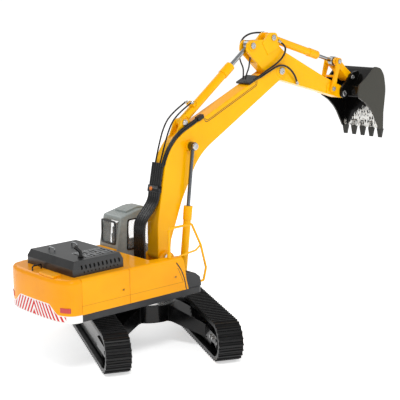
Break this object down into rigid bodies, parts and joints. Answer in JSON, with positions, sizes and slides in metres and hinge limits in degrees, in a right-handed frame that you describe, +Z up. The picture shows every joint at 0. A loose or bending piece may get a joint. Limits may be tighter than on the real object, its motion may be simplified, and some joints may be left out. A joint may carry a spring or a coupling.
{
  "type": "toy excavator",
  "caption": "Die-cast toy crawler excavator: swinging upper body with cab, gooseneck boom, stick and bucket moved by sliding cylinders, on fixed tracks with turning wheels",
  "frame": {"origin": "on the ground, under the swing axis", "axes": "+X forward along the boom (the longest extent), +Y to the cab side, +Z up; the tracks stand at 65.3 degrees to the boom"},
  "size_m": [0.2855, 0.1502, 0.1849],
  "materials": {
    "yellow_paint": "glossy golden-yellow enamel on die-cast zinc",
    "bright_yellow_paint": "glossy bright yellow enamel",
    "counterweight_paint": "glossy yellow enamel with a printed white band and red slanted stripes",
    "black_undercarriage": "gloss black enamel",
    "black_plastic": "satin black moulded plastic",
    "track_rubber": "satin black moulded track",
    "dark_grey_plastic": "dark grey moulded plastic",
    "cab_grey": "light grey moulded plastic",
    "clear_glazing": "clear moulded glazing",
    "seat_black": "black moulded plastic",
    "chrome_rod": "polished chrome",
    "steel_pin": "turned steel",
    "bucket_paint": "dark olive-grey enamel, worn bright inside",
    "tooth_grey": "dark cast teeth",
    "red_lens": "red lens",
    "orange_rivet": "orange button",
    "hose_rubber": "black rubber hose"
  },
  "bodies": {
    "undercarriage": {"track_belt_left": "track_rubber", "track_belt_right": "track_rubber", "track_frame_left": "black_undercarriage", "track_frame_right": "black_undercarriage", "bottom_rollers": "black_undercarriage", "carrier_rollers": "black_undercarriage", "frame_screws": "steel_pin", "car_body": "black_undercarriage", "swing_race_lower": "steel_pin"},
    "sprocket_left_wheel": {"sprocket_left": "black_undercarriage"},
    "sprocket_right_wheel": {"sprocket_right": "black_undercarriage"},
    "idler_left_wheel": {"idler_left": "black_undercarriage"},
    "idler_right_wheel": {"idler_right": "black_undercarriage"},
    "upper": {"base_frame": "dark_grey_plastic", "swing_race_upper": "steel_pin", "swing_screw": "steel_pin", "counterweight": "counterweight_paint", "counterweight_plate": "yellow_paint", "counterweight_lever": "black_plastic", "tail_reflectors": "red_lens", "right_rear_door": "yellow_paint", "right_front_cover": "yellow_paint", "left_rear_door": "yellow_paint", "left_front_cover": "yellow_paint", "deck_plate": "yellow_paint", "engine_hood": "dark_grey_plastic", "hood_handles": "chrome_rod", "exhaust_pipe": "black_plastic", "cab_shell": "cab_grey", "cab_glazing": "clear_glazing", "cab_roof_hatch": "cab_grey", "operator_seat": "seat_black", "control_levers": "black_plastic", "step_box": "dark_grey_plastic", "handrail": "bright_yellow_paint", "boom_foot_brackets": "yellow_paint", "boom_foot_pin": "steel_pin", "boom_cylinder_base_pins": "steel_pin", "hose_post": "black_plastic"},
    "boom_arm": {"boom": "bright_yellow_paint", "boom_pins": "steel_pin", "hose_guard": "black_plastic", "guard_rivet": "orange_rivet", "hose_clamps": "black_plastic", "boom_hoses": "hose_rubber"},
    "boom_barrels": {"boom_cylinder_barrels": "bright_yellow_paint"},
    "boom_rods": {"boom_cylinder_rods": "chrome_rod"},
    "stick_arm": {"stick": "bright_yellow_paint", "stick_pins": "steel_pin", "stick_hoses": "hose_rubber"},
    "stick_barrel": {"stick_cylinder_barrel": "bright_yellow_paint"},
    "stick_rod": {"stick_cylinder_rod": "chrome_rod"},
    "bucket_barrel": {"bucket_cylinder_barrel": "bright_yellow_paint"},
    "bucket_rod": {"bucket_cylinder_rod": "chrome_rod"},
    "rocker_arms": {"rocker": "bright_yellow_paint", "rocker_pin": "steel_pin"},
    "link": {"bucket_link": "bright_yellow_paint"},
    "bucket": {"bucket_shell": "bucket_paint", "bucket_pins": "steel_pin", "bucket_teeth": "tooth_grey"}
  },
  "joints": [
    {"name": "swing", "type": "hinge", "parent": "undercarriage", "child": "upper", "pos_m": [0, 0, 0.03], "axis": [0, 0, 1], "continuous": true},
    {"name": "sprocket_left_spin", "type": "hinge", "parent": "undercarriage", "child": "sprocket_left_wheel", "pos_m": [-0.05178, -0.03348, 0.01195], "axis": [-0.9085, 0.4179, 0], "continuous": true},
    {"name": "idler_left_spin", "type": "hinge", "parent": "undercarriage", "child": "idler_left_wheel", "pos_m": [-0.00828, 0.0611, 0.01195], "axis": [-0.9085, 0.4179, 0], "continuous": true},
    {"name": "sprocket_right_spin", "type": "hinge", "parent": "undercarriage", "child": "sprocket_right_wheel", "pos_m": [0.00828, -0.0611, 0.01195], "axis": [-0.9085, 0.4179, 0], "continuous": true},
    {"name": "idler_right_spin", "type": "hinge", "parent": "undercarriage", "child": "idler_right_wheel", "pos_m": [0.05178, 0.03348, 0.01195], "axis": [-0.9085, 0.4179, 0], "continuous": true},
    {"name": "boom_hinge", "type": "hinge", "parent": "upper", "child": "boom_arm", "pos_m": [0.0095, 0, 0.0515], "axis": [0, 1, 0], "range_deg": [-5, 42]},
    {"name": "boom_barrel_hinge", "type": "hinge", "parent": "upper", "child": "boom_barrels", "pos_m": [0.0209, 0, 0.037], "axis": [0, 1, 0], "range_deg": [-4.5, 37.2]},
    {"name": "boom_rod_slide", "type": "slide", "parent": "boom_barrels", "child": "boom_rods", "axis": [0.1195, 0, 0.9928], "range_m": [-0.0119, 0.0015]},
    {"name": "stick_hinge", "type": "hinge", "parent": "boom_arm", "child": "stick_arm", "pos_m": [0.1113, 0, 0.159], "axis": [0, 1, 0], "range_deg": [-8, 46]},
    {"name": "stick_barrel_hinge", "type": "hinge", "parent": "boom_arm", "child": "stick_barrel", "pos_m": [0.0288, 0, 0.1326], "axis": [0, 1, 0], "range_deg": [-0.2, 0.6]},
    {"name": "stick_rod_slide", "type": "slide", "parent": "stick_barrel", "child": "stick_rod", "axis": [0.7947, 0, 0.607], "range_m": [-0.0042, 0.0237]},
    {"name": "bucket_hinge", "type": "hinge", "parent": "stick_arm", "child": "bucket", "pos_m": [0.1722, 0, 0.1396], "axis": [0, 1, 0], "range_deg": [-30, 45]},
    {"name": "rocker_hinge", "type": "hinge", "parent": "stick_arm", "child": "rocker_arms", "pos_m": [0.1615, 0, 0.1436], "axis": [0, 1, 0], "range_deg": [-19.5, 29.2]},
    {"name": "link_hinge", "type": "hinge", "parent": "rocker_arms", "child": "link", "pos_m": [0.1672, 0, 0.1619], "axis": [0, 1, 0], "range_deg": [-17.5, 11.7]},
    {"name": "bucket_barrel_hinge", "type": "hinge", "parent": "stick_arm", "child": "bucket_barrel", "pos_m": [0.1049, 0, 0.1809], "axis": [0, 1, 0], "range_deg": [-0.6, 0.9]},
    {"name": "bucket_rod_slide", "type": "slide", "parent": "bucket_barrel", "child": "bucket_rod", "axis": [0.9565, 0, -0.2917], "range_m": [-0.0066, 0.0098]}
  ],
  "couplings": [
    {"joint": "idler_left_spin", "follows": "sprocket_left_spin", "ratio": 1},
    {"joint": "idler_right_spin", "follows": "sprocket_right_spin", "ratio": 1},
    {"joint": "boom_barrel_hinge", "follows": "boom_hinge", "ratio": 0.884},
    {"joint": "boom_rod_slide", "follows": "boom_hinge", "m_per_rad": -0.01575},
    {"joint": "stick_barrel_hinge", "follows": "stick_hinge", "ratio": 0.0091},
    {"joint": "stick_rod_slide", "follows": "stick_hinge", "m_per_rad": 0.02936},
    {"joint": "rocker_hinge", "follows": "bucket_hinge", "ratio": 0.644},
    {"joint": "link_hinge", "follows": "bucket_hinge", "ratio": -0.384},
    {"joint": "bucket_barrel_hinge", "follows": "bucket_hinge", "ratio": 0.016},
    {"joint": "bucket_rod_slide", "follows": "bucket_hinge", "m_per_rad": 0.012178}
  ]
}
